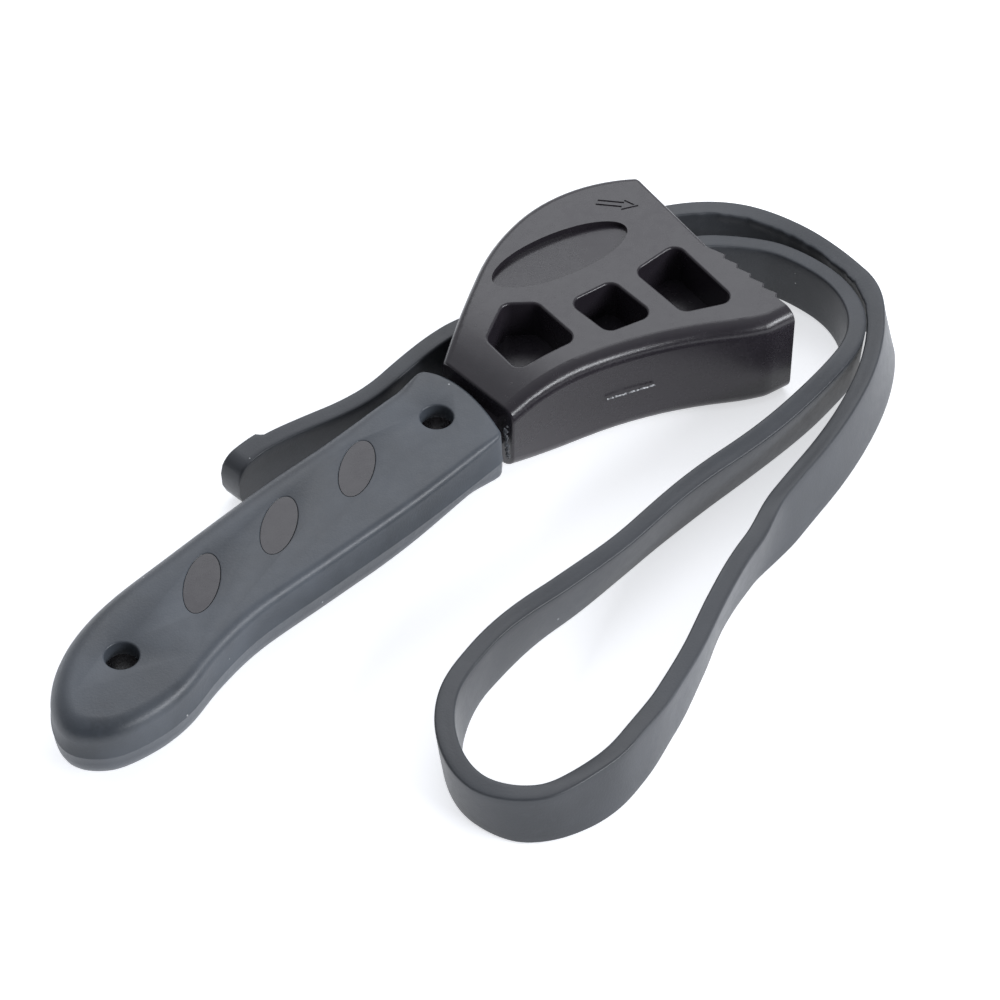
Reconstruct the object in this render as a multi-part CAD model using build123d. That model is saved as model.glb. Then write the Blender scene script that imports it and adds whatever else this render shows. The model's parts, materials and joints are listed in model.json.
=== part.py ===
from build123d import *
import os
from math import atan, degrees, hypot, radians, tan

# Rubber strap wrench for oil filters, lying on its side with its strap loop open beside it.
# Plan coordinates are in millimetres from the axis of the hang hole near the handle's end, with X
# towards the head and Z up from the surface that the wrench lies on. The last step moves the whole
# model so that its origin is at the middle of the wrench's own footprint, without the free strap.

# ---- driving dimensions ----
HEAD_THICKNESS = 28.0          # across the two flat faces of the head
NECK_THICKNESS = 19.6          # of the head where it meets the grip
NECK_TAPER_LENGTH = 24.0       # over which the head thins down to the neck
GRIP_THICKNESS = 18.5
GRIP_EDGE_RADIUS = 3.4
GRIP_END_EDGE_RADIUS = 0.8     # around the grip's end face beside the head
TANG_THICKNESS = 10.0          # of the moulded core inside the grip
GRIP_WALL = 5.0                # rubber around the tang, in plan
TANG_END_RADIUS = 9.0
HOLE_SPAN = 105.8              # between the two hang holes
HOLE_RADIUS = 4.1
HEAD_END_RADIUS = 1.4          # plan radius of the pointed corner over the front face
SIDE_EDGE_RADIUS = 4.0         # long edges of the head's lower side
FRONT_BEND_RADIUS = 9.0        # plan bend of the lower side just before the front face
BACK_EDGE_RADIUS = 2.4         # long edges of the head's curved back
POCKET_DEPTH = 11.0
POCKET_CORNER_RADIUS = 2.8
POCKET_RIM_RADIUS = 0.7
NECK_EDGE_RADIUS = 0.8
FRONT_EDGE_RADIUS = 0.4
RECESS_DEPTH = 1.8             # oval recess on each face, at its deeper side
RECESS_SHALLOW = 0.2           # and at its other side, as its floor slopes
RECESS_LENGTH = 40.0
RECESS_WIDTH = 15.4
OVAL_LENGTH = 19.0             # bosses of the core that show through the grip
OVAL_WIDTH = 8.2
OVAL_SINK = 0.1                # the bosses end this far under the grip's surface
TOOTH_COUNT = 5
TOOTH_PITCH = 4.75
TOOTH_DEPTH = 1.1
STRAP_WIDTH = 15.0
STRAP_THICKNESS = 4.8
SLOT_SIDE_GAP = 0.5            # between the strap's flat faces and the slot
SLOT_EDGE_GAP = 0.75           # between the strap's edges and the slot
MOUTH_FLARE = 2.6              # how far a front mouth widens to each side
BACK_MOUTH_FLARE = 3.4
MOUTH_FLARE_LENGTH = 8.0
PIN_RADIUS = 1.6
PIN_END_WALL = 3.0             # plastic left over the pin at the upper face
PIN_BOTTOM_GAP = 0.5           # between the pin's end and the bottom of its blind hole
PIN_RUNNING_GAP = 0.05
EYE_RADIUS = 4.6               # rubber eye moulded on the fixed end of the strap
EYE_CHAMBER_GAP = 0.6
KNUCKLE_GAP = 0.3              # round joint between the slot run and the tail
LOOP_END_GAP = 3.2             # from the front face to the start of the loop's returning strand
PAD_LENGTH = 12.0              # thicker pull pad at the end of the tail
PAD_THICKNESS = 1.4
PAD_EDGE_MARGIN = 1.0
TAIL_END_RADIUS = 5.0          # rounded corners of the tail's end
ARROW_LENGTH = 11.0            # embossed generic arrow beside the oval recess
ARROW_HEAD = 4.2
ARROW_BODY = 2.0               # across the shaft and across the barbs
ARROW_BARBS = 4.2
ARROW_LINE = 0.4
ARROW_HEIGHT = 0.25

MID = HEAD_THICKNESS / 2
GRIP_LOW = MID - GRIP_THICKNESS / 2
GRIP_HIGH = MID + GRIP_THICKNESS / 2
STRAP_LOW = MID - STRAP_WIDTH / 2
SLOT_WIDTH = STRAP_THICKNESS + 2 * SLOT_SIDE_GAP
SLOT_HEIGHT = STRAP_WIDTH + 2 * SLOT_EDGE_GAP

# ---- plan positions ----
HEAD_BACK_LOW = (120.2, 11.8)      # upper corner at the neck
HEAD_BACK_BEND = (147.0, 25.0)     # the straight back turns into the curved one
HEAD_BACK_TOP = (169.0, 31.2)
HEAD_TIP = (202.3, 19.6)
FRONT_TEETH_START = (194.2, -13.2)
FRONT_LOW = (190.8, -44.0)
SIDE_LOW = (183.6, -42.3)
SIDE_BEND = (174.5, -36.4)
SIDE_NECK = (118.6, -13.6)
SIDE_NECK_DIRECTION = (1.0, -0.1)
GRIP_SIDE = [(88, 15.9), (61, 17.4), (30, 17.6), (8, 17.0), (-8, 12.6), (-19.4, 4), (-23.6, -6),
             (-18, -14.5), (-7, -18.1), (4, -18.2), (17, -15.2), (32, -13.6), (55, -14.9), (84, -16.4)]
GRIP_END_UPPER = (115.2, 14.8)
GRIP_END_MIDDLE = (118.2, 2.4)
GRIP_END_LOWER = (112.8, -16.3)
TANG_UPPER_SIDE = 15.0             # plan height of the grip's upper side beside the head
TANG_LOWER_SIDE = -13.5            # of the waist of the grip's lower side
POCKETS = [
    [(131.5, 7.0), (142.9, 11.8), (148.8, 5.9), (146.2, -10.0), (129.2, -5.7)],
    [(154.6, 0.2), (167.7, -2.6), (165.8, -18.3), (153.3, -14.0)],
    [(174.4, -4.4), (189.2, -5.4), (183.7, -30.1), (171.5, -23.0)],
]
RECESS_CENTRE = (166.2, 13.8)
RECESS_TURN = -15.0
OVALS = [(79.9, 2.1, 33.0), (53.8, 2.6, 33.0), (28.3, 2.7, 36.0)]
ARROW_TAIL = (187.4, 20.4)
ARROW_TURN = -55.0
SLOT_FRONT = (196.6, -1.4)
SLOT_BACK = (137.0, 19.35)
PIN_PLACE = (190.5, 15.5)
FIXED_MOUTH = (200.6, 11.2)        # where the fixed strand leaves the front face

# ---- routes of the strap, as x, y and the height of its middle ----
LOOP_ROUTE = [
    (190.5, 15.5, 14.0), (201.0, 11.0, 14.0), (213.8, 1.6, 13.6), (221.6, -9.8, 11.7),
    (226.0, -29.0, 8.4), (222.8, -47.8, 7.5), (204.5, -61.8, 7.5), (178.6, -70.9, 7.5),
    (149.6, -75.4, 7.5), (120.0, -80.8, 7.5), (95.0, -91.6, 7.5), (72.2, -98.0, 7.5),
    (55.0, -100.2, 7.5), (37.6, -93.9, 7.5), (32.0, -77.0, 7.5), (45.6, -58.2, 7.5),
    (71.5, -51.7, 7.5), (104.0, -54.8, 7.5), (136.0, -53.7, 7.5), (164.0, -56.0, 7.5),
    (187.5, -55.6, 7.5), (208.0, -52.2, 7.5), (218.2, -38.4, 7.5), (216.4, -20.8, 9.7),
    (209.5, -11.0, 11.3), (198.0, -1.5, 13.6), (186.0, 2.3, 14.0),
]
TAIL_ROUTE = [
    (155.5, 12.9, 14.0), (137.0, 19.35, 14.0), (127.5, 21.2, 13.2), (117.0, 21.5, 12.3),
    (106.0, 21.2, 11.3), (97.0, 23.1, 10.5), (87.5, 26.7, 9.7), (78.5, 30.0, 8.8),
    (71.5, 31.3, 8.1), (65.0, 31.1, 7.5),
]
LOOP_DROP_START = 4.0              # across Y, where the loop begins to come down from the mouths
LOOP_DROP_END = -34.0              # and where it lies on the surface
TAIL_DROP_START = 9.0              # from the slot's end to where the tail begins to sag
FAR = 400.0                        # larger than the model, for cutting shapes


def along(start, end, share):
    """Point at a share of the way from start to end."""
    return tuple(a + share * (b - a) for a, b in zip(start, end))


def prism(points, low, high):
    """Closed polygon in plan, raised from one height to another."""
    face = make_face(Polyline(*points, close=True))
    return Pos(0, 0, low) * extrude(face, high - low, dir=(0, 0, 1))


def rounded_prism(points, radius, low, high):
    solid = prism(points, low, high)
    return fillet(solid.edges().filter_by(Axis.Z), radius)


def post(place, radius, low, high):
    align = (Align.CENTER, Align.CENTER, Align.MIN)
    return Pos(place[0], place[1], low) * Cylinder(radius, high - low, align=align)


def mirrored(solid):
    """The same shape on the head's other face."""
    return mirror(solid, about=Plane.XY.offset(MID))


def oval(centre, turn, length, width, low, high):
    face = Pos(centre[0], centre[1], low) * Rot(0, 0, turn) * Ellipse(length / 2, width / 2)
    return extrude(face, high - low, dir=(0, 0, 1))


# ---- head ----
def teeth_line():
    """Saw teeth down the front face, from their first valley to their last."""
    length = hypot(*[b - a for a, b in zip(FRONT_TEETH_START, FRONT_LOW)])
    down = [(b - a) / length for a, b in zip(FRONT_TEETH_START, FRONT_LOW)]
    out = (-down[1], down[0])
    points = []
    for tooth in range(TOOTH_COUNT):
        root = [a + tooth * TOOTH_PITCH * d for a, d in zip(FRONT_TEETH_START, down)]
        tip = [r + 0.8 * TOOTH_PITCH * d + TOOTH_DEPTH * n for r, d, n in zip(root, down, out)]
        points += [tuple(root), tuple(tip)]
    end = [a + TOOTH_COUNT * TOOTH_PITCH * d for a, d in zip(FRONT_TEETH_START, down)]
    return points + [tuple(end)]


def head_outline():
    back = Line(HEAD_BACK_LOW, HEAD_BACK_BEND)
    crest = TangentArc(HEAD_BACK_BEND, HEAD_BACK_TOP, tangent=back % 1)
    brow = TangentArc(HEAD_BACK_TOP, HEAD_TIP, tangent=crest % 1)
    front = Polyline(HEAD_TIP, *teeth_line(), FRONT_LOW, SIDE_LOW)
    side = TangentArc(SIDE_NECK, SIDE_BEND, tangent=SIDE_NECK_DIRECTION)
    corner = TangentArc(SIDE_BEND, SIDE_LOW, tangent=side % 1)
    neck = Line(SIDE_NECK, HEAD_BACK_LOW)
    return make_face(Wire(back.edges() + crest.edges() + brow.edges() + front.edges()
                          + corner.edges() + side.edges() + neck.edges()))


def neck_profile():
    """Side view that thins the head towards the neck, the same on both faces."""
    thin = (HEAD_THICKNESS - NECK_THICKNESS) / 2
    neck_x = min(SIDE_NECK[0], HEAD_BACK_LOW[0])
    bend_x = neck_x + NECK_TAPER_LENGTH
    radius = (NECK_TAPER_LENGTH ** 2 + thin ** 2) / (2 * thin)
    lower = [Line((FAR, 0), (bend_x, 0)), TangentArc((bend_x, 0), (neck_x, thin), tangent=(-1, 0))]
    upper = [Line((FAR, HEAD_THICKNESS), (bend_x, HEAD_THICKNESS)),
             TangentArc((bend_x, HEAD_THICKNESS), (neck_x, HEAD_THICKNESS - thin), tangent=(-1, 0))]
    ends = [Line((FAR, 0), (FAR, HEAD_THICKNESS)),
            Line((neck_x, thin), (0, thin)),
            Line((0, thin), (0, HEAD_THICKNESS - thin)),
            Line((0, HEAD_THICKNESS - thin), (neck_x, HEAD_THICKNESS - thin))]
    edges = [edge for curve in lower + upper + ends for edge in curve.edges()]
    face = make_face(Wire(edges))
    return extrude(Plane.XZ * face, FAR, dir=(0, 1, 0), both=True)


def upright_edge_near(solid, place):
    return solid.edges().filter_by(Axis.Z).sort_by(
        lambda edge: hypot(edge.center().X - place[0], edge.center().Y - place[1]))[0]


def level_edges(solid, keep):
    """Edges that run around a face rather than up the thickness, chosen by their plan centre."""
    return [edge for edge in solid.edges()
            if abs((edge @ 0).Z - (edge @ 1).Z) < MID and keep(edge.center())]


def head_block():
    head = extrude(head_outline(), HEAD_THICKNESS, dir=(0, 0, 1))
    head = fillet([upright_edge_near(head, SIDE_LOW)], FRONT_BEND_RADIUS)
    head = head & neck_profile()
    front_x = FRONT_TEETH_START[0]
    side = level_edges(head, lambda c: c.Y < SIDE_NECK[1] + 1 and c.X < FRONT_LOW[0])
    head = fillet(side, SIDE_EDGE_RADIUS)
    back = level_edges(head, lambda c: c.Y > HEAD_BACK_LOW[1] and (c.X < front_x or c.Y > HEAD_TIP[1]))
    head = fillet(back, BACK_EDGE_RADIUS)
    neck = level_edges(head, lambda c: c.X < HEAD_BACK_LOW[0] and abs(c.Y) < 8)
    head = fillet(neck, NECK_EDGE_RADIUS)
    head = fillet([upright_edge_near(head, HEAD_TIP)], HEAD_END_RADIUS)
    front = level_edges(head, lambda c: c.X > front_x - 4 and FRONT_LOW[1] + 0.1 < c.Y < HEAD_TIP[1]
                        and abs(abs(c.Z - MID) - MID) < 0.01)
    return fillet(front, FRONT_EDGE_RADIUS)


def pockets():
    """Blind pockets of the upper face; the other face has the same ones."""
    floor = HEAD_THICKNESS - POCKET_DEPTH
    return [rounded_prism(corners, POCKET_CORNER_RADIUS, floor, HEAD_THICKNESS + 1) for corners in POCKETS]


def rim_edges(head, cut):
    """Edges where a pocket meets the head's upper face, which slopes beside the neck."""
    box = cut.bounding_box()
    lowest = HEAD_THICKNESS - (HEAD_THICKNESS - NECK_THICKNESS) / 2
    return [edge for edge in head.edges()
            if edge.center().Z > lowest
            and abs((edge @ 0).Z - (edge @ 1).Z) < POCKET_DEPTH / 3
            and box.min.X - 0.1 < edge.center().X < box.max.X + 0.1
            and box.min.Y - 0.1 < edge.center().Y < box.max.Y + 0.1]


def recess():
    """Oval cut in the upper face, deepest along the side nearest to the head's back."""
    rim = oval(RECESS_CENTRE, RECESS_TURN, RECESS_LENGTH, RECESS_WIDTH, MID, HEAD_THICKNESS + 1)
    middle_depth = (RECESS_DEPTH + RECESS_SHALLOW) / 2
    slope = degrees(atan((RECESS_DEPTH - RECESS_SHALLOW) / RECESS_WIDTH))
    above = Box(2 * RECESS_LENGTH, 2 * RECESS_LENGTH, HEAD_THICKNESS, align=(Align.CENTER, Align.CENTER, Align.MIN))
    floor = Pos(*RECESS_CENTRE, HEAD_THICKNESS - middle_depth) * Rot(0, 0, RECESS_TURN) * Rot(-slope, 0, 0)
    return rim & (floor * above)


def slot_direction():
    length = hypot(SLOT_BACK[0] - SLOT_FRONT[0], SLOT_BACK[1] - SLOT_FRONT[1])
    return ((SLOT_BACK[0] - SLOT_FRONT[0]) / length, (SLOT_BACK[1] - SLOT_FRONT[1]) / length)


def passage(start, end, low, high, width, flare_start=0.0, flare_end=0.0):
    """Straight passage for the strap, which may widen over its last stretch at each end."""
    length = hypot(end[0] - start[0], end[1] - start[1])
    run = ((end[0] - start[0]) / length, (end[1] - start[1]) / length)
    across = (-run[1], run[0])

    def corner(distance, offset):
        return tuple(s + distance * r + offset * n for s, r, n in zip(start, run, across))

    half = width / 2
    first = min(MOUTH_FLARE_LENGTH, length / 2)
    side = [(0, half + flare_start)]
    if flare_start:
        side.append((first, half))
    if flare_end:
        side.append((length - first, half))
    side.append((length, half + flare_end))
    outline = [corner(d, o) for d, o in side] + [corner(d, -o) for d, o in reversed(side)]
    return prism(outline, low, high)


def strap_cavities():
    """Slot for the running strand, and the chamber and mouth of the fixed one."""
    low, high = MID - SLOT_HEIGHT / 2, MID + SLOT_HEIGHT / 2
    run = slot_direction()
    front = tuple(p - MOUTH_FLARE_LENGTH * 0.5 * r for p, r in zip(SLOT_FRONT, run))
    back = tuple(p + MOUTH_FLARE_LENGTH * 1.2 * r for p, r in zip(SLOT_BACK, run))
    slot = passage(front, back, low, high, SLOT_WIDTH, MOUTH_FLARE, BACK_MOUTH_FLARE)
    chamber = post(PIN_PLACE, EYE_RADIUS + EYE_CHAMBER_GAP, low, high)
    outside = along(PIN_PLACE, FIXED_MOUTH, 1.35)
    mouth = passage(PIN_PLACE, outside, low, high, SLOT_WIDTH + 1, flare_end=MOUTH_FLARE)
    return [slot, chamber, mouth]


def arrow():
    """Outline arrow on the upper face, pointing along the front towards the strap."""
    neck, half, wide = ARROW_LENGTH - ARROW_HEAD, ARROW_BODY / 2, ARROW_BARBS / 2
    outer = make_face(Polyline((0, -half), (neck, -half), (neck, -wide), (ARROW_LENGTH, 0), (neck, wide),
                               (neck, half), (0, half), close=True))
    inner = offset(outer, -ARROW_LINE, kind=Kind.INTERSECTION)
    line = Pos(*ARROW_TAIL, HEAD_THICKNESS) * Rot(0, 0, ARROW_TURN) * (outer - inner)
    return extrude(line, ARROW_HEIGHT, dir=(0, 0, 1))


def tang():
    """Flat bar of the core inside the grip, with a round end around the far hang hole."""
    upper = TANG_UPPER_SIDE - GRIP_WALL
    lower = TANG_LOWER_SIDE + GRIP_WALL
    low, high = MID - TANG_THICKNESS / 2, MID + TANG_THICKNESS / 2
    tail_x = -TANG_END_RADIUS - 4
    bar = prism([(tail_x, lower), (HEAD_BACK_LOW[0] + 3, lower), (HEAD_BACK_LOW[0] + 3, upper),
                 (tail_x, upper)], low, high)
    ends = [edge for edge in bar.edges().filter_by(Axis.Z) if edge.center().X < 0]
    return fillet(ends, TANG_END_RADIUS)


def ovals(low, high):
    return [oval((x, y), turn, OVAL_LENGTH, OVAL_WIDTH, low, high) for x, y, turn in OVALS]


def hang_holes():
    return [post((x, 0), HOLE_RADIUS, -1, HEAD_THICKNESS + 1) for x in (0, HOLE_SPAN)]


def core():
    head = head_block()
    cuts = pockets()
    for cut in cuts:
        head = head - cut
    for cut in cuts:
        head = fillet(rim_edges(head, cut), POCKET_RIM_RADIUS)
    head = head - recess()
    upper_half = head & prism([(0, -FAR), (FAR, -FAR), (FAR, FAR), (0, FAR)], MID, HEAD_THICKNESS + 1)
    head = upper_half + mirrored(upper_half)
    solid = head + tang()
    for boss in ovals(GRIP_LOW + OVAL_SINK, GRIP_HIGH - OVAL_SINK):
        solid = solid + boss
    solid = solid + arrow()
    for cut in strap_cavities() + hang_holes() + [pin_hole()]:
        solid = solid - cut
    return solid


def pin_hole():
    return post(PIN_PLACE, PIN_RADIUS, -1, HEAD_THICKNESS - PIN_END_WALL)


def anchor_pin():
    return post(PIN_PLACE, PIN_RADIUS, 0, HEAD_THICKNESS - PIN_END_WALL - PIN_BOTTOM_GAP)


# ---- grip ----
def grip_end():
    """Rounded end of the grip beside the head, as everything on the handle's side of an arc."""
    arc = ThreePointArc(GRIP_END_UPPER, GRIP_END_MIDDLE, GRIP_END_LOWER)
    upper, lower = arc @ 0, arc @ 1
    rest = Polyline(lower, (lower.X, -FAR), (-FAR, -FAR), (-FAR, FAR), (upper.X, FAR), upper)
    return extrude(make_face(Wire(arc.edges() + rest.edges())), FAR, dir=(0, 0, 1))


def grip_shape():
    """Rounded bar along the handle, cut off by its end face."""
    beyond = HEAD_BACK_LOW[0] + GRIP_THICKNESS
    start, finish = (beyond, GRIP_END_UPPER[1]), (beyond, GRIP_END_LOWER[1])
    side = Spline(start, GRIP_END_UPPER, *GRIP_SIDE, GRIP_END_LOWER, finish)
    face = make_face(Wire(side.edges() + Line(finish, start).edges()))
    solid = Pos(0, 0, GRIP_LOW) * extrude(face, GRIP_THICKNESS, dir=(0, 0, 1))
    rims = [edge for edge in solid.edges() if abs((edge @ 0).Z - (edge @ 1).Z) < 0.01 and edge.length > FAR / 2]
    solid = fillet(rims, GRIP_EDGE_RADIUS) & grip_end()
    return fillet(grip_end_edges(solid), GRIP_END_EDGE_RADIUS)


def grip_end_edges(solid):
    face = solid.faces().sort_by(Axis.X)[-1]
    return face.edges()


def grip():
    solid = grip_shape()
    for cut in [tang()] + ovals(GRIP_LOW - 1, GRIP_HIGH + 1) + hang_holes():
        solid = solid - cut
    return solid


# ---- strap ----
def corner_radii(points):
    """As large an arc at each corner as its two runs allow."""
    runs = [Vector(*b) - Vector(*a) for a, b in zip(points, points[1:])]
    return [0.45 * min(one.length, two.length) / tan(radians(one.get_angle(two)) / 2)
            for one, two in zip(runs, runs[1:])]


def belt(route, width, middle=0.0, low=0.0, high=HEAD_THICKNESS):
    """Upright band along a route in plan, its middle set off to the left of the route."""
    points = [(x, y, low) for x, y, _ in route]
    radii = corner_radii(points)
    path = FilletPolyline(*points, radius=radii)
    start = Plane(origin=path @ 0, x_dir=Vector(0, 0, 1).cross(path % 0), z_dir=path % 0)
    section = start * Pos(middle, (high - low) / 2) * Rectangle(width, high - low)
    band = sweep(section, path=path)
    return band, min(radii), path.length


def drop_along_y():
    """Side view of the loop, which comes down from the mouths to lie on the surface."""
    lower = [(FAR, STRAP_LOW), (LOOP_DROP_START, STRAP_LOW), (LOOP_DROP_END, 0), (-FAR, 0)]
    upper = [(y, z + STRAP_WIDTH) for y, z in reversed(lower)]
    return extrude(Plane.YZ * make_face(Polyline(*lower, *upper, close=True)), FAR, dir=(1, 0, 0))


def drop_along_x():
    """Side view of the tail, which sags until its rounded end lies on the surface."""
    end_x = TAIL_ROUTE[-1][0]
    lower = [(FAR, STRAP_LOW), (SLOT_BACK[0] - TAIL_DROP_START, STRAP_LOW), (end_x, 0)]
    upper = [(x, z + STRAP_WIDTH) for x, z in reversed(lower)]
    side = make_face(Polyline(*lower, *upper, close=True))
    side = fillet(side.vertices().group_by(Axis.X)[0], TAIL_END_RADIUS)
    return extrude(Plane.XZ * side, FAR, dir=(0, 1, 0), both=True)


def strap_eye():
    eye = post(PIN_PLACE, EYE_RADIUS, STRAP_LOW, STRAP_LOW + STRAP_WIDTH)
    return eye - post(PIN_PLACE, PIN_RADIUS + PIN_RUNNING_GAP, 0, HEAD_THICKNESS)


def strap_loop():
    before_mouth, mouth = LOOP_ROUTE[-3], LOOP_ROUTE[-2]
    run = hypot(mouth[0] - before_mouth[0], mouth[1] - before_mouth[1])
    end = along(before_mouth, mouth, 1 - LOOP_END_GAP / run)
    band, tightest, length = belt(LOOP_ROUTE[:-2] + [end], STRAP_THICKNESS)
    print(f"strap_loop: length {length:.1f}, tightest radius {tightest:.1f}")
    return (band & drop_along_y()) - post(PIN_PLACE, EYE_RADIUS, 0, HEAD_THICKNESS)


def strap_slot_run():
    """Straight stretch inside the head, with a hollow end that the tail's round end turns in."""
    start = along(SLOT_FRONT, SLOT_BACK, 0.17)
    low, high = STRAP_LOW, STRAP_LOW + STRAP_WIDTH
    bar = passage(start, SLOT_BACK, low, high, STRAP_THICKNESS)
    return bar - post(SLOT_BACK, STRAP_THICKNESS / 2 + KNUCKLE_GAP, low - 1, high + 1)


def strap_tail():
    band, tightest, length = belt(TAIL_ROUTE[1:], STRAP_THICKNESS)
    print(f"strap_tail: length {length:.1f}, tightest radius {tightest:.1f}")
    band = band & drop_along_x()
    knuckle = post(SLOT_BACK, STRAP_THICKNESS / 2, STRAP_LOW, STRAP_LOW + STRAP_WIDTH)
    gap = post(SLOT_BACK, STRAP_THICKNESS / 2, 0, STRAP_LOW)
    return (band + knuckle) - gap


def pull_pad():
    """Thicker end of the tail, on the side away from the grip."""
    middle = -(STRAP_THICKNESS + PAD_THICKNESS) / 2
    band, _, _ = belt(TAIL_ROUTE[1:], PAD_THICKNESS, middle=middle, low=PAD_EDGE_MARGIN,
                      high=STRAP_WIDTH - PAD_EDGE_MARGIN)
    end_x = TAIL_ROUTE[-1][0]
    window = prism([(end_x + 2, 0), (end_x + PAD_LENGTH, 0), (end_x + PAD_LENGTH, FAR),
                    (end_x + 2, FAR)], 0, HEAD_THICKNESS)
    return band & window


def build():
    return {
        "head_core": core(),
        "grip": grip(),
        "anchor_pin": anchor_pin(),
        "strap_eye": strap_eye(),
        "strap_loop": strap_loop(),
        "strap_slot_run": strap_slot_run(),
        "strap_tail": strap_tail(),
        "pull_pad": pull_pad(),
    }


def main():
    parts = build()
    wrench = Compound([*parts["head_core"].solids(), *parts["grip"].solids()]).bounding_box()
    middle_x, middle_y = (wrench.min.X + wrench.max.X) / 2, (wrench.min.Y + wrench.max.Y) / 2
    print(f"tail hang hole at {-middle_x:.3f}, {-middle_y:.3f} from the origin")
    os.makedirs("parts", exist_ok=True)
    for name, shape in parts.items():
        export_step(Pos(-middle_x, -middle_y, 0) * shape, f"parts/{name}.step")


main()
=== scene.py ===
# Rubber strap oil filter wrench: the looks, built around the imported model.
import json
import math

import bmesh
import bpy
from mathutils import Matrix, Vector, noise


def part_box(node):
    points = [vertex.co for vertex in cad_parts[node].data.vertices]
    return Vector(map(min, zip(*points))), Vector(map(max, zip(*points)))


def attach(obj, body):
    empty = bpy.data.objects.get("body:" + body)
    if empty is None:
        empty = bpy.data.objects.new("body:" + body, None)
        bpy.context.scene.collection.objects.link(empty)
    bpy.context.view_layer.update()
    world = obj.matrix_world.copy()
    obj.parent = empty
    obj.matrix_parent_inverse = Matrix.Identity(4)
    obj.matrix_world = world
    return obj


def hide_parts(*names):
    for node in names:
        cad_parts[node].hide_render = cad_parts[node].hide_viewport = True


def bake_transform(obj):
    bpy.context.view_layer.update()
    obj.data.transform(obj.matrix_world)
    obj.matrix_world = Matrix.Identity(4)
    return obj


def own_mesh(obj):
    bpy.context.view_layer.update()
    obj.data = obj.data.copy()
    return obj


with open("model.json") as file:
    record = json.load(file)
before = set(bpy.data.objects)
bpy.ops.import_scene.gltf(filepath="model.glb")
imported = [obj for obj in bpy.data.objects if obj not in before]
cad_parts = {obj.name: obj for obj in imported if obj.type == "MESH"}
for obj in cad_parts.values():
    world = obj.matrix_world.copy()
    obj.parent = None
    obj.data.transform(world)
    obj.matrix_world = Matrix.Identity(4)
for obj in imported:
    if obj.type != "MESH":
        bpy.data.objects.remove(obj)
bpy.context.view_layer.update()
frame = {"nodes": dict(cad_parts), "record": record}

# ---- places, in metres ----
MOUNTS = {mount["name"]: Vector(mount["pos_m"]) for mount in frame["record"]["mounts"]}
TAIL_HOLE = MOUNTS["tail_hang_hole"]
HEAD_TOP = 0.028
MID = HEAD_TOP / 2
GRIP_LOW, GRIP_HIGH = (corner[2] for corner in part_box("grip"))
HOLE_RADIUS = 0.0041

STRAP_WIDTH = 0.015
STRAP_THICKNESS = 0.0048

# The strap's route, from the axis of the hang hole near the handle's end, X towards the head.
LOOP_ROUTE = [
    (0.1905, 0.0155, 0.0140), (0.2010, 0.0110, 0.0140),
    (0.2138, 0.0016, 0.0136), (0.2216, -0.0098, 0.0117),
    (0.2260, -0.0290, 0.0084), (0.2228, -0.0478, 0.0075),
    (0.2045, -0.0618, 0.0075), (0.1786, -0.0709, 0.0075),
    (0.1496, -0.0754, 0.0075), (0.1200, -0.0808, 0.0075),
    (0.0950, -0.0916, 0.0075), (0.0722, -0.0980, 0.0075),
    (0.0550, -0.1002, 0.0075), (0.0376, -0.0939, 0.0075),
    (0.0320, -0.0770, 0.0075), (0.0456, -0.0582, 0.0075),
    (0.0715, -0.0517, 0.0075), (0.1040, -0.0548, 0.0075),
    (0.1360, -0.0537, 0.0075), (0.1640, -0.0560, 0.0075),
    (0.1875, -0.0556, 0.0075), (0.2080, -0.0522, 0.0075),
    (0.2182, -0.0384, 0.0075), (0.2164, -0.0208, 0.0097),
    (0.2095, -0.0110, 0.0113), (0.1980, -0.0015, 0.0136), (0.1860, 0.0023, 0.0140),
]
TAIL_ROUTE = [
    (0.1555, 0.0129, 0.0140), (0.1370, 0.01935, 0.0140),
    (0.1275, 0.0212, 0.0132), (0.1170, 0.0215, 0.0123),
    (0.1060, 0.0212, 0.0113), (0.0970, 0.0231, 0.0105),
    (0.0875, 0.0267, 0.0097), (0.0785, 0.0300, 0.0088),
    (0.0715, 0.0313, 0.0081), (0.0650, 0.0311, 0.0075),
]
PIN_PLACE = (0.1905, 0.0155, 0.0140)
EYE_RADIUS = 0.0046
EYE_COVER = 0.9                # share of the eye's radius inside which the loop stops
SLOT_FRONT = (0.1865, 0.00212, 0.0140)


def place(point):
    """A point given from the tail hang hole's axis, in the row frame."""
    return Vector((TAIL_HOLE.x + point[0], TAIL_HOLE.y + point[1], point[2]))


# ---- camera ----
CAMERA_PLACE = place((-0.34167, -0.43499, 0.65091))
CAMERA_AIM = place((0.10208, -0.02463, 0.014))
CAMERA_LENS = 129.6


def make_camera():
    data = bpy.data.cameras.new("camera")
    data.lens = CAMERA_LENS
    data.clip_start, data.clip_end = 0.01, 20
    camera = bpy.data.objects.new("camera", data)
    bpy.context.scene.collection.objects.link(camera)
    camera.location = CAMERA_PLACE
    camera.rotation_euler = (CAMERA_AIM - CAMERA_PLACE).to_track_quat("-Z", "Y").to_euler()
    bpy.context.scene.camera = camera


make_camera()


# ---- mesh helpers ----
def add_object(name, mesh):
    obj = bpy.data.objects.new(name, mesh)
    bpy.context.scene.collection.objects.link(obj)
    return obj


def smooth(mesh, angle=math.radians(35)):
    """Smooth shading with every edge sharper than the angle kept crisp."""
    mesh.shade_smooth()
    mesh.set_sharp_from_angle(angle=angle)


def face_outwards(mesh):
    shape = bmesh.new()
    shape.from_mesh(mesh)
    bmesh.ops.recalc_face_normals(shape, faces=shape.faces)
    shape.to_mesh(mesh)
    shape.free()


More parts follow.
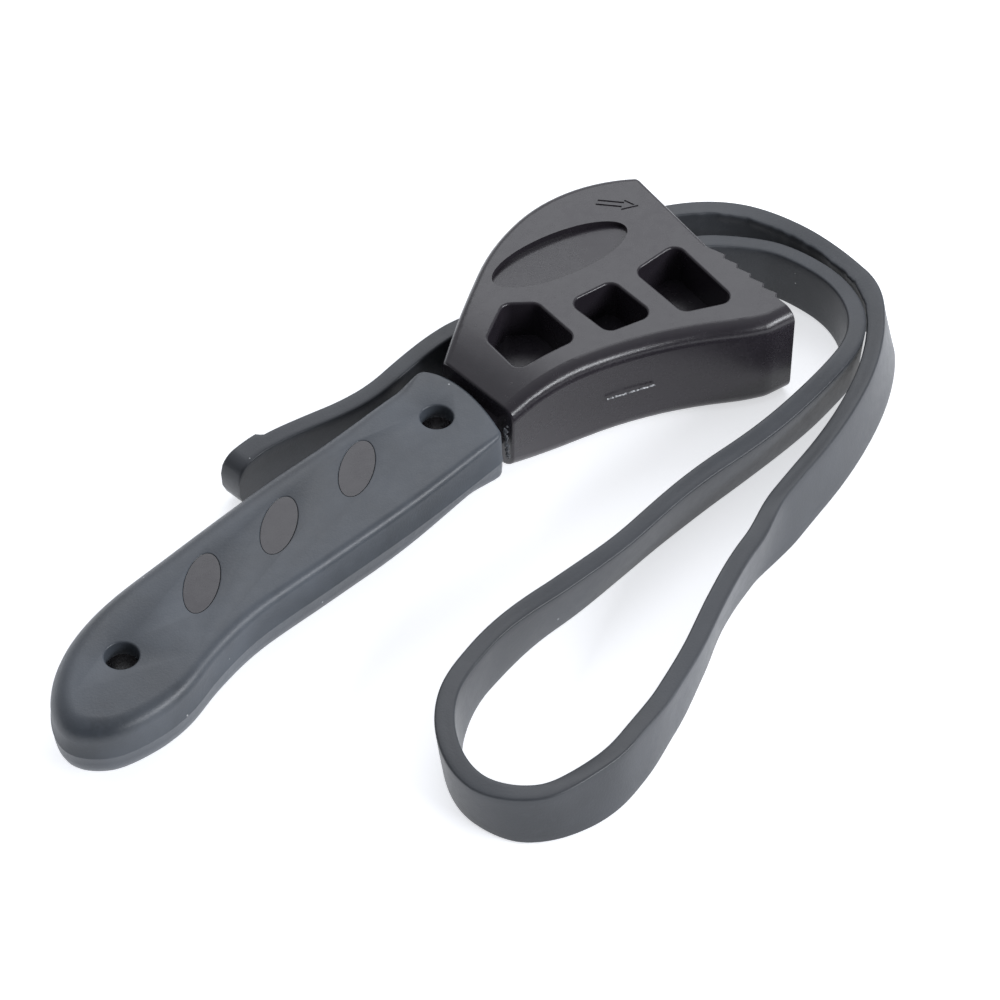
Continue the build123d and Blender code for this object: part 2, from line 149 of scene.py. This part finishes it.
def tube_mesh(name, rings):
    """Closed mesh through rings of points, with a cap at each end."""
    mesh = bpy.data.meshes.new(name)
    count = len(rings[0])
    faces = []
    for r in range(len(rings) - 1):
        for k in range(count):
            n = (k + 1) % count
            faces.append((r * count + k, r * count + n, (r + 1) * count + n, (r + 1) * count + k))
    last = (len(rings) - 1) * count
    faces.append(tuple(reversed(range(count))))
    faces.append(tuple(range(last, last + count)))
    mesh.from_pydata([p for ring in rings for p in ring], [], faces)
    mesh.validate()
    return mesh


# ---- strap ----
def spline_points(route):
    """Points down a smooth spline that has the route's points as its control points."""
    curve = bpy.data.curves.new("route", "CURVE")
    curve.dimensions = "3D"
    curve.resolution_u = 24
    spline = curve.splines.new("NURBS")
    spline.points.add(len(route) - 1)
    for point, target in zip(route, spline.points):
        target.co = (*place(point), 1)
    spline.order_u = 3
    spline.use_endpoint_u = True
    holder = bpy.data.objects.new("route", curve)
    mesh = bpy.data.meshes.new_from_object(holder)
    points = [vertex.co.copy() for vertex in mesh.vertices]
    bpy.data.objects.remove(holder)
    bpy.data.curves.remove(curve)
    bpy.data.meshes.remove(mesh)
    return points


def evenly(points, step):
    """The same line with its points a step apart, and the distance of each from its start."""
    reach = [0.0]
    for a, b in zip(points, points[1:]):
        reach.append(reach[-1] + (b - a).length)
    count = max(2, round(reach[-1] / step))
    line, k = [], 0
    for i in range(count + 1):
        want = reach[-1] * i / count
        while k < len(points) - 2 and reach[k + 1] < want:
            k += 1
        share = (want - reach[k]) / max(reach[k + 1] - reach[k], 1e-9)
        line.append(points[k].lerp(points[k + 1], min(max(share, 0), 1)))
    return line, [reach[-1] * i / count for i in range(count + 1)]


def strap_section(half_thick, half_wide, radius=0.0006, corner_steps=4, wide_steps=8, edge_steps=4):
    """Rounded oblong as (across, up) points, counter-clockwise from the outer lower corner."""
    section = []
    corners = [(half_thick, -half_wide, -90), (half_thick, half_wide, 0),
               (-half_thick, half_wide, 90), (-half_thick, -half_wide, 180)]
    for number, (x, y, start) in enumerate(corners):
        cx, cy = x - math.copysign(radius, x), y - math.copysign(radius, y)
        for k in range(corner_steps + 1):
            turn = math.radians(start + 90 * k / corner_steps)
            section.append((cx + radius * math.cos(turn), cy + radius * math.sin(turn)))
        nx, ny, _ = corners[(number + 1) % 4]
        ends = section[-1], (nx - math.copysign(radius, nx) if number % 2 else nx,
                             ny if number % 2 else ny - math.copysign(radius, ny))
        steps = edge_steps if number % 2 else wide_steps
        for k in range(1, steps):
            section.append(tuple(a + (b - a) * k / steps for a, b in zip(*ends)))
    return section


def knots(value, table):
    """Smooth value between the (place, value) pairs of a table."""
    if value <= table[0][0]:
        return table[0][1]
    for (a, low), (b, high) in zip(table, table[1:]):
        if value <= b:
            t = (value - a) / (b - a)
            return low + (high - low) * t * t * (3 - 2 * t)
    return table[-1][1]


def belt(name, line, reach, lean, reshape):
    """Strap along a line, its wide sides upright but for a changing lean, kept above the floor."""
    section = strap_section(STRAP_THICKNESS / 2, STRAP_WIDTH / 2)
    total = reach[-1]
    rings = []
    for i, centre in enumerate(line):
        ahead = line[min(i + 1, len(line) - 1)] - line[max(i - 1, 0)]
        ahead.normalize()
        up = (Vector((0, 0, 1)) - ahead * ahead.z).normalized()
        out = up.cross(ahead)
        turn = math.radians(knots(reach[i] / total, lean))
        up, out = up * math.cos(turn) + out * math.sin(turn), out * math.cos(turn) - up * math.sin(turn)
        ring = []
        for across, high in section:
            across, high = reshape(reach[i], total, across, high)
            ring.append(centre + out * across + up * high)
        sunk = min(0.0, min(point.z for point in ring))
        rings.append([point - Vector((0, 0, sunk)) for point in ring])
    mesh = tube_mesh(name, rings)
    face_outwards(mesh)
    smooth(mesh)
    return add_object(name, mesh)


RING_STEP, TAIL_STEP, SLOT_STEP = 0.001, 0.0008, 0.004
# Lean of the strap's top outward from the loop, as (share of the length, degrees).
LOOP_LEAN = [(0.08, 0), (0.12, -4), (0.155, -15), (0.20, -14), (0.28, -15), (0.315, 4), (0.345, 6),
             (0.375, 3), (0.41, -1), (0.44, -8), (0.465, -12), (0.495, -3), (0.52, 6), (0.57, 7),
             (0.60, 1), (0.65, -7), (0.69, -11), (0.735, -8), (0.78, -11), (0.83, -8), (0.88, -3),
             (0.95, 0)]
TAIL_LEAN = [(0.4, 0), (0.7, 2), (1.0, 3)]
FLASH_FROM, FLASH_TO = 0.012, 0.085      # torn mould flash on the loop's inner edge, from the head
FLASH_SIZE = 0.0007
BEAD_PLACE, BEAD_WIDTH, BEAD_HEIGHT = 0.0011, 0.00018, 0.00010
PAD_LENGTH = 0.0125
PAD_RAMP = 0.0012
PAD_THICKNESS = 0.0014
TAIL_END_RADIUS = 0.005


def bead(across):
    """Fine raised mould line on the strap's upper edge."""
    return BEAD_HEIGHT * math.exp(-((across - BEAD_PLACE) / BEAD_WIDTH) ** 2)


def loop_shape(distance, total, across, high):
    if high > STRAP_WIDTH / 2 - 0.0001:
        high += bead(across)
    if FLASH_FROM < distance < FLASH_TO and across < 0 and high > STRAP_WIDTH / 2 - 0.0007:
        fade = min(1, (distance - FLASH_FROM) / 0.01, (FLASH_TO - distance) / 0.01)
        torn = noise.noise(Vector((distance * 210, 3.7, 0)))
        torn += 0.6 * noise.noise(Vector((distance * 620, 9.1, 0)))
        across -= FLASH_SIZE * fade * max(0, 0.5 + torn)
    drift = 0.00012 * noise.noise(Vector((distance * 45, across * 300, high * 90)))
    return across + drift, high + 1.4 * drift


def tail_shape(distance, total, across, high):
    left = total - distance
    if high > STRAP_WIDTH / 2 - 0.0001:
        high += bead(-across)
    if across < 0 and left < PAD_LENGTH:
        rise = min(1, (PAD_LENGTH - left) / PAD_RAMP)
        across -= PAD_THICKNESS * rise * rise * (3 - 2 * rise)
    if left < TAIL_END_RADIUS:
        corner = math.sqrt(max(0, TAIL_END_RADIUS ** 2 - (TAIL_END_RADIUS - left) ** 2))
        limit = STRAP_WIDTH / 2 - TAIL_END_RADIUS + corner
        high *= limit / (STRAP_WIDTH / 2)
    drift = 0.00012 * noise.noise(Vector((distance * 60, across * 300, high * 90)))
    return across + drift, high + drift


def plain_shape(distance, total, across, high):
    return across, high


def make_loop():
    line, _ = evenly(spline_points(LOOP_ROUTE), RING_STEP)
    pin = place(PIN_PLACE)
    line = [p for p in line if (p - pin).length > EYE_COVER * EYE_RADIUS]
    line, reach = evenly(line, RING_STEP)
    loop = belt("loop_belt", line, reach, LOOP_LEAN, loop_shape)
    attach(loop, "loop")
    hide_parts("strap_loop")
    return loop


def make_slot_run():
    line, reach = evenly([place(SLOT_FRONT), place(TAIL_ROUTE[0])], SLOT_STEP)
    run = belt("slot_belt", line, reach, [(0, 0), (1, 0)], plain_shape)
    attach(run, "slot_run")
    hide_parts("strap_slot_run")
    return run


def make_tail():
    line, reach = evenly(spline_points(TAIL_ROUTE), TAIL_STEP)
    tail = belt("tail_belt", line, reach, TAIL_LEAN, tail_shape)
    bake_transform(tail)
    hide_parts("strap_tail", "pull_pad")
    return tail


loop_belt = make_loop()
slot_belt = make_slot_run()
tail_belt = make_tail()
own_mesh(loop_belt)


# ---- grip ----
GRIP_SIDE = [(0.1152, 0.0148), (0.088, 0.0159), (0.061, 0.0174), (0.030, 0.0176), (0.008, 0.0170),
             (-0.008, 0.0126), (-0.0194, 0.004), (-0.0236, -0.006), (-0.018, -0.0145), (-0.007, -0.0181),
             (0.004, -0.0182), (0.017, -0.0152), (0.032, -0.0136), (0.055, -0.0149), (0.084, -0.0164),
             (0.1128, -0.0163)]
GRIP_END_MIDDLE = (0.1182, 0.0024)
OUTLINE_STEP = 0.0012
# Edge radius around the outline, as (share of the way around from the head's upper corner, metres).
UPPER_RIM = [(0.00, 0.0012), (0.03, 0.0042), (0.12, 0.0056), (0.38, 0.0056), (0.46, 0.0046),
             (0.53, 0.0036), (0.60, 0.0028), (0.70, 0.0022), (0.87, 0.0019), (0.90, 0.0010), (1.00, 0.0010)]
LOWER_RIM = [(0.00, 0.0015), (0.05, 0.0056), (0.40, 0.0060), (0.50, 0.0070), (0.60, 0.0065),
             (0.86, 0.0062), (0.90, 0.0025), (1.00, 0.0015)]
# How far the underside rises towards the head on the long side, by the same share.
LOWER_LIFT = [(0.76, 0), (0.885, 0.0026), (0.92, 0.0024), (0.99, 0)]
RIM_STEPS = 7
SIDE_DRAFT = 0.0004            # how far the sides lean in from the mould's parting line to each face
SEAM_HEIGHT, SEAM_HALF = 0.00014, 0.00012
INNER_RINGS = (0.0004,)
OVALS = [(0.0799, 0.0021, 33), (0.0538, 0.0026, 33), (0.0283, 0.0027, 36)]
OVAL_LENGTH, OVAL_WIDTH = 0.019, 0.0082
TANG_LOW, TANG_HIGH = MID - 0.005, MID + 0.005
CUT_MARGIN, CUT_STEP = 0.00008, 0.0001
HOLE_RIM, OVAL_RIM = 0.0005, 0.0003


def smooth_line(points, steps):
    """Catmull-Rom line through the points."""
    padded = [points[0]] + points + [points[-1]]
    line = []
    for a, b, c, d in zip(padded, padded[1:], padded[2:], padded[3:]):
        for k in range(steps):
            t = k / steps
            line.append(0.5 * (2 * b + (c - a) * t + (2 * a - 5 * b + 4 * c - d) * t * t
                               + (3 * b - a - 3 * c + d) * t ** 3))
    return line + [points[-1]]


def grip_outline():
    """Points evenly around the grip in plan, with softened corners at its end."""
    side = smooth_line([place((x, y, 0)) for x, y in GRIP_SIDE], 12)
    middle = place((*GRIP_END_MIDDLE, 0))
    first, last = side[0], side[-1]
    end = []
    for k in range(1, 16):
        t = k / 16
        bulge = middle - (first + last) / 2
        end.append(last.lerp(first, t) + bulge * (1 - (2 * t - 1) ** 2))
    line, _ = evenly(side + end + [first], OUTLINE_STEP)
    line = line[:-1]
    for _ in range(2):
        line = [(a + 2 * b + c) / 4 for a, b, c in zip(line[-1:] + line[:-1], line, line[1:] + line[:1])]
    return line


def grip_profile(upper, lower, low):
    """Inset and height of each ring, from the underside's flat round to the upper side's."""
    rings = [(lower + extra, low) for extra in reversed(INNER_RINGS)]
    for k in range(RIM_STEPS + 1):
        turn = math.radians(90 * k / RIM_STEPS)
        rings.append((lower * (1 - math.sin(turn)), low + lower * (1 - math.cos(turn))))
    rings += [(0, MID - 3 * SEAM_HALF), (-SEAM_HEIGHT, MID - SEAM_HALF), (-SEAM_HEIGHT, MID + SEAM_HALF),
              (0, MID + 3 * SEAM_HALF)]
    for k in range(RIM_STEPS + 1):
        turn = math.radians(90 * k / RIM_STEPS)
        rings.append((upper * (1 - math.cos(turn)), GRIP_HIGH - upper * (1 - math.sin(turn))))
    rings += [(upper + extra, GRIP_HIGH) for extra in INNER_RINGS]
    half = (GRIP_HIGH - GRIP_LOW) / 2
    return [(inset + SIDE_DRAFT * abs(z - MID) / half, z) for inset, z in rings]


def cutter(name, sections):
    """Closed cutting solid through (height, half length, half width) sections of an ellipse."""
    def build(centre, turn):
        c, s = math.cos(turn), math.sin(turn)
        rings = []
        for z, long, wide in sections:
            ring = []
            for k in range(64):
                a = 2 * math.pi * k / 64
                x, y = long * math.cos(a), wide * math.sin(a)
                ring.append(Vector((centre.x + x * c - y * s, centre.y + x * s + y * c, z)))
            rings.append(ring)
        mesh = tube_mesh(name, rings)
        face_outwards(mesh)
        return add_object(name, mesh)
    return build


def through_sections(long, wide, rim, inside):
    """Sections of a hole right through the grip, with rounded rims and a little more room at the tang."""
    levels = [(-0.001, rim), (0, rim), (0.18 * rim, 0.45 * rim), (0.5 * rim, 0.15 * rim), (rim, 0)]
    sections = [(GRIP_LOW + z, long + r, wide + r) for z, r in levels]
    sections += [(TANG_LOW, long, wide), (TANG_LOW + CUT_STEP, long + inside, wide + inside),
                 (TANG_HIGH - CUT_STEP, long + inside, wide + inside), (TANG_HIGH, long, wide)]
    return sections + [(GRIP_HIGH - z, long + r, wide + r) for z, r in reversed(levels)]


def subtract(body, tools):
    for tool in tools:
        cut = body.modifiers.new("cut", "BOOLEAN")
        cut.operation, cut.solver, cut.object = "DIFFERENCE", "MANIFOLD", tool
    graph = bpy.context.evaluated_depsgraph_get()
    mesh = bpy.data.meshes.new_from_object(body.evaluated_get(graph))
    body.modifiers.clear()
    body.data = mesh
    for tool in tools:
        bpy.data.objects.remove(tool)


def make_grip():
    line = grip_outline()
    count = len(line)
    columns = []
    for k, point in enumerate(line):
        ahead = (line[(k + 1) % count] - line[k - 1]).normalized()
        inward = Vector((0, 0, 1)).cross(ahead)
        share = k / count
        low = GRIP_LOW + knots(share, LOWER_LIFT)
        profile = grip_profile(knots(share, UPPER_RIM), knots(share, LOWER_RIM), low)
        columns.append([Vector((point.x, point.y, z)) + inward * inset for inset, z in profile])
    rings = [[column[j] for column in columns] for j in range(len(columns[0]))]
    mesh = tube_mesh("grip_rubber_sleeve", rings)
    face_outwards(mesh)
    grip = add_object("grip_rubber_sleeve", mesh)
    hole = cutter("hole", through_sections(HOLE_RADIUS, HOLE_RADIUS, HOLE_RIM, CUT_MARGIN))
    tools = [hole(MOUNTS["tail_hang_hole"], 0), hole(MOUNTS["middle_hang_hole"], 0)]
    long, wide = OVAL_LENGTH / 2 + CUT_MARGIN, OVAL_WIDTH / 2 + CUT_MARGIN
    pocket = cutter("oval", through_sections(long, wide, OVAL_RIM, 0))
    tools += [pocket(place((x, y, 0)), math.radians(turn)) for x, y, turn in OVALS]
    subtract(grip, tools)
    smooth(grip.data)
    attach(grip, "wrench")
    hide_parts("grip")
    return grip


grip_sleeve = make_grip()


# ---- moulding marks on the head ----
SCUFF_FROM, SCUFF_TO = (0.1458, -0.0208), (0.1578, -0.0262)
CRUMBS_FROM, CRUMBS_TO = (0.1148, -0.0146, 0.0230), (0.1148, -0.0156, 0.0125)
CRUMB_COUNT, CRUMB_SIZE = 26, 0.00034
SCUFF_STEPS = 46
SCUFF_THIN, SCUFF_SIZE, SCUFF_WANDER = 0.00003, 0.00022, 0.00012
CRUMB_SPREAD = 0.0006
MARK_DEPTH = 0.0002             # how far a mark's mesh reaches below the surface


def ribbon(name, centres, side, up, widths, height):
    """Low raised line of changing width along its centres, for a mould mark."""
    rings = []
    for centre, width in zip(centres, widths):
        rings.append([centre + side * width - up * MARK_DEPTH, centre + side * width + up * height * 0.3,
                      centre + up * height, centre - side * width + up * height * 0.3,
                      centre - side * width - up * MARK_DEPTH])
    mesh = tube_mesh(name, rings)
    face_outwards(mesh)
    mark = add_object(name, mesh)
    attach(mark, "wrench")
    return mark


def ragged(k, seed):
    """Uneven value around a half, for a torn edge."""
    broad, fine = Vector((k * 0.9, seed, 0.3)), Vector((k * 2.3, seed, 7.1))
    return 0.5 + noise.noise(broad) + 0.5 * noise.noise(fine)


def make_scuff():
    """Scraped parting line, half way up the head's long side."""
    start, end = place((*SCUFF_FROM, MID)), place((*SCUFF_TO, MID))
    along = (end - start).normalized()
    outward = along.cross(Vector((0, 0, 1)))
    steps = SCUFF_STEPS
    up = Vector((0, 0, 1))
    centres = [start.lerp(end, k / steps) + up * SCUFF_WANDER * ragged(k, 2.0) for k in range(steps + 1)]
    widths = [SCUFF_THIN + SCUFF_SIZE * max(0, ragged(k, 5.0)) for k in range(steps + 1)]
    return ribbon("head_scuff", centres, up, outward, widths, SCUFF_SIZE)


def make_crumbs():
    """Rubber flash squeezed out of the mould at the grip's lower corner beside the neck."""
    crumbs = bmesh.new()
    start, end = place(CRUMBS_FROM), place(CRUMBS_TO)
    for k in range(CRUMB_COUNT):
        size = CRUMB_SIZE * (0.5 + max(0, ragged(k, 11.0)))
        shift = Vector((noise.noise(Vector((k, 1.5, 0))), noise.noise(Vector((k, 4.5, 0))), 0)) * CRUMB_SPREAD
        ball = bmesh.ops.create_icosphere(crumbs, subdivisions=2, radius=size)["verts"]
        centre = start.lerp(end, k / (CRUMB_COUNT - 1)) + shift
        for vertex in ball:
            dent = noise.noise(vertex.co * 3000 + Vector((k, 0, 0)))
            vertex.co += vertex.co.normalized() * size * 0.5 * dent
            vertex.co += centre
    mesh = bpy.data.meshes.new("neck_crumbs")
    crumbs.to_mesh(mesh)
    crumbs.free()
    made = add_object("neck_crumbs", mesh)
    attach(made, "wrench")
    return made


head_scuff = make_scuff()
neck_crumbs = make_crumbs()


# ---- materials ----
class Graph:
    """Small helper for building a node material."""

    def __init__(self, name):
        self.material = bpy.data.materials.new(name)
        self.material.use_nodes = True
        self.tree = self.material.node_tree
        self.shader = self.tree.nodes["Principled BSDF"]
        self.where = self.node("ShaderNodeTexCoord").outputs["Object"]

    def node(self, kind, **settings):
        made = self.tree.nodes.new(kind)
        for key, value in settings.items():
            if key in made.inputs:
                if isinstance(value, bpy.types.NodeSocket):
                    self.tree.links.new(value, made.inputs[key])
                else:
                    made.inputs[key].default_value = value
            else:
                setattr(made, key, value)
        return made

    def noise(self, scale, detail=4.0, rough=0.55):
        return self.node("ShaderNodeTexNoise", Vector=self.where, Scale=scale, Detail=detail,
                         Roughness=rough).outputs["Fac"]

    def ramp(self, value, low, high, to_low, to_high):
        made = self.node("ShaderNodeMapRange", clamp=True)
        self.tree.links.new(value, made.inputs["Value"])
        limits = (("From Min", low), ("From Max", high), ("To Min", to_low), ("To Max", to_high))
        for key, number in limits:
            made.inputs[key].default_value = number
        return made.outputs["Result"]

    def math(self, operation, a, b):
        made = self.node("ShaderNodeMath", operation=operation)
        for socket, value in zip(made.inputs, (a, b)):
            if isinstance(value, bpy.types.NodeSocket):
                self.tree.links.new(value, socket)
            else:
                socket.default_value = value
        return made.outputs["Value"]

    def mix(self, share, a, b):
        made = self.node("ShaderNodeMix", data_type="RGBA")
        for socket, value in zip((made.inputs[0], made.inputs[6], made.inputs[7]), (share, a, b)):
            if isinstance(value, bpy.types.NodeSocket):
                self.tree.links.new(value, socket)
            elif isinstance(value, tuple):
                socket.default_value = (*value, 1)
            else:
                socket.default_value = value
        return made.outputs[2]

    def specks(self, cells, size, share):
        """Scattered dust: 1 inside a speck, in a share of the cells."""
        cell = self.node("ShaderNodeTexVoronoi", Vector=self.where, Scale=cells)
        near = self.math("LESS_THAN", cell.outputs["Distance"], size)
        split = self.node("ShaderNodeSeparateColor")
        self.tree.links.new(cell.outputs["Color"], split.inputs["Color"])
        picked = self.math("LESS_THAN", split.outputs["Red"], share)
        return self.math("MULTIPLY", near, picked)

    def bump(self, height, distance, strength=1.0, under=None):
        made = self.node("ShaderNodeBump", Distance=distance, Strength=strength)
        self.tree.links.new(height, made.inputs["Height"])
        if under is not None:
            self.tree.links.new(under, made.inputs["Normal"])
        return made.outputs["Normal"]

    def finish(self, color, rough, normal, specular=0.5):
        for key, value in (("Base Color", color), ("Roughness", rough), ("Normal", normal)):
            self.tree.links.new(value, self.shader.inputs[key])
        self.shader.inputs["Specular IOR Level"].default_value = specular
        return self.material


def scaled(color, factor):
    return tuple(min(1.0, c * factor) for c in color)


def moulded(name, color, rough, grain, grain_depth, dust, mottle, specular=0.5):
    """Moulded rubber or plastic: mottled colour, fine grain, uneven gloss and a little dust."""
    g = Graph(name)
    broad = g.noise(38, 3)
    fine = g.noise(420, 5)
    tone = g.mix(g.ramp(broad, 0.35, 0.65, 0, 1), scaled(color, 1 - mottle), scaled(color, 1 + mottle))
    tone = g.mix(g.ramp(fine, 0.55, 0.75, 0, 0.35), tone, scaled(color, 1.3))
    cells, size, share = dust
    speck = g.specks(cells, size, share)
    tone = g.mix(g.math("MULTIPLY", speck, 0.8), tone, DUST_COLOR)
    uneven = g.ramp(broad, 0.3, 0.7, rough - 0.04, rough + 0.04)
    uneven = g.math("ADD", uneven, g.ramp(fine, 0.4, 0.7, -0.02, 0.03))
    normal = g.bump(g.noise(grain, 3, 0.6), grain_depth)
    return g.finish(tone, uneven, normal, specular)


HEAD_COLOR = (0.021, 0.018, 0.023)
GRIP_COLOR = (0.058, 0.067, 0.080)
STRAP_COLOR = (0.050, 0.054, 0.061)
DUST_COLOR = (0.42, 0.43, 0.44)

head_plastic = moulded("head_plastic", HEAD_COLOR, 0.26, 2600, 0.00002, (180, 0.045, 0.08), 0.08)
grip_rubber = moulded("grip_rubber", GRIP_COLOR, 0.42, 1500, 0.00005, (230, 0.055, 0.22), 0.26)
strap_rubber = moulded("strap_rubber", STRAP_COLOR, 0.38, 1600, 0.00004, (200, 0.05, 0.10), 0.16, 0.38)


def pin_steel():
    g = Graph("pin_steel")
    turned = g.noise(900, 4)
    tone = g.mix(turned, (0.42, 0.42, 0.43), (0.62, 0.62, 0.63))
    g.shader.inputs["Metallic"].default_value = 1.0
    return g.finish(tone, g.ramp(turned, 0.3, 0.7, 0.25, 0.4), g.bump(turned, 0.00001))


def scraped_plastic():
    g = Graph("scraped_plastic")
    rough = g.noise(1500, 3)
    tone = g.mix(g.ramp(rough, 0.35, 0.6, 0, 1), (0.10, 0.10, 0.11), (0.75, 0.76, 0.78))
    return g.finish(tone, g.ramp(rough, 0.3, 0.7, 0.6, 0.8), g.bump(rough, 0.00003))


scraped = scraped_plastic()


def paint(obj, material):
    obj.data.materials.clear()
    obj.data.materials.append(material)


paint(loop_belt, strap_rubber)
paint(slot_belt, strap_rubber)
paint(tail_belt, strap_rubber)
paint(grip_sleeve, grip_rubber)
paint(neck_crumbs, strap_rubber)
paint(head_scuff, scraped)
for node, material in (("head_core", head_plastic), ("strap_eye", strap_rubber),
                       ("anchor_pin", pin_steel())):
    frame["nodes"][node].material_slots[0].material = material


# ---- floor and light ----
WORLD_DARK, WORLD_BRIGHT = 0.10, 0.85
FLOOR_GLOW = 0.62
LIGHT_COLOR = (0.94, 0.96, 1.0)


def make_floor():
    bpy.ops.mesh.primitive_plane_add(size=12, location=(0, 0, -0.0003))
    floor = bpy.context.object
    floor.name = "floor"
    material = bpy.data.materials.new("floor_white")
    material.use_nodes = True
    shader = material.node_tree.nodes["Principled BSDF"]
    shader.inputs["Base Color"].default_value = (0.86, 0.87, 0.89, 1)
    shader.inputs["Roughness"].default_value = 0.9
    shader.inputs["Emission Color"].default_value = (0.97, 0.98, 1.0, 1)
    shader.inputs["Emission Strength"].default_value = FLOOR_GLOW
    floor.data.materials.append(material)


def area_light(name, position, aim, size, power, color=(1, 1, 1)):
    data = bpy.data.lights.new(name, "AREA")
    data.shape = "RECTANGLE"
    data.size, data.size_y = size
    data.energy = power
    data.color = color
    light = bpy.data.objects.new(name, data)
    bpy.context.scene.collection.objects.link(light)
    light.location = position
    light.rotation_euler = (Vector(aim) - Vector(position)).to_track_quat("-Z", "Y").to_euler()


def make_world():
    """Soft white surroundings that darken low down on the side the camera stands."""
    world = bpy.data.worlds.new("studio")
    bpy.context.scene.world = world
    world.use_nodes = True
    tree = world.node_tree
    where = tree.nodes.new("ShaderNodeTexCoord")
    dot = tree.nodes.new("ShaderNodeVectorMath")
    dot.operation = "DOT_PRODUCT"
    dot.inputs[1].default_value = (0.58, 0.54, 0.61)
    tree.links.new(where.outputs["Generated"], dot.inputs[0])
    ramp = tree.nodes.new("ShaderNodeMapRange")
    limits = (("From Min", -0.2), ("From Max", 0.95), ("To Min", WORLD_DARK), ("To Max", WORLD_BRIGHT))
    for key, number in limits:
        ramp.inputs[key].default_value = number
    tree.links.new(dot.outputs["Value"], ramp.inputs["Value"])
    background = tree.nodes["Background"]
    background.inputs["Color"].default_value = (0.93, 0.95, 1.0, 1)
    tree.links.new(ramp.outputs["Result"], background.inputs["Strength"])


make_floor()
make_world()
area_light("behind", (0.9, 0.85, 1.2), (0.0, -0.02, 0), (1.3, 0.8), 6.5, LIGHT_COLOR)
area_light("right", (0.4, -1.05, 0.55), (0.0, -0.02, 0), (1.0, 0.25), 13, LIGHT_COLOR)
bpy.context.scene.view_settings.view_transform = "Standard"
